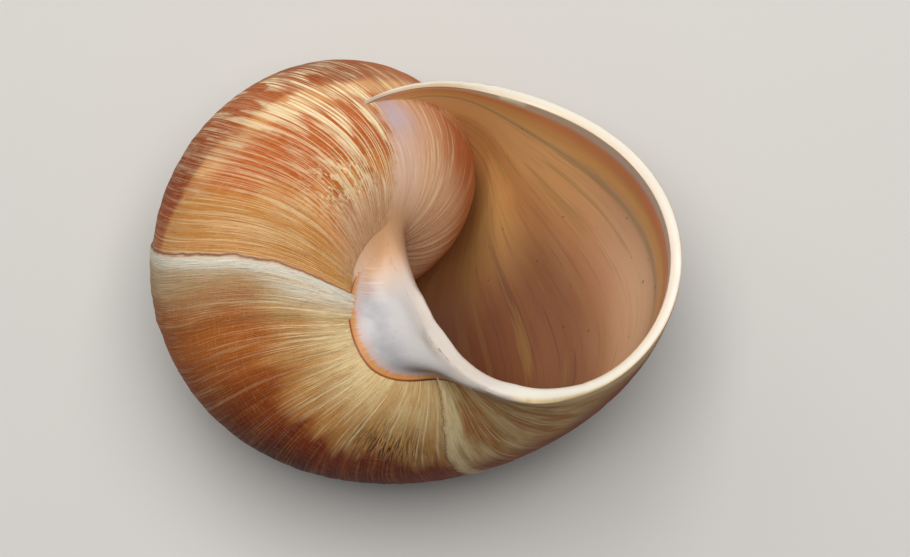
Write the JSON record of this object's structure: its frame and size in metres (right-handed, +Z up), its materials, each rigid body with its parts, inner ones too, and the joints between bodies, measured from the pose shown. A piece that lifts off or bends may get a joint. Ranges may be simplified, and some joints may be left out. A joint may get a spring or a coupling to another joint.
{
  "type": "snail shell",
  "caption": "Empty land snail shell, a rounded right-handed spiral with a wide open mouth, resting on its back.",
  "frame": {"origin": "middle of the shell's box, on the ground that it rests on", "axes": "+Z up with the shell lying on its back and its mouth up; +X from the last whorl towards the outer lip; +Y towards the upper lip"},
  "size_m": [0.0422, 0.0342, 0.0307],
  "materials": {
    "shell": "satin shell, orange-brown with cream growth lines, glossy inside"
  },
  "bodies": {
    "root": {"shell": "shell"}
  },
  "joints": []
}
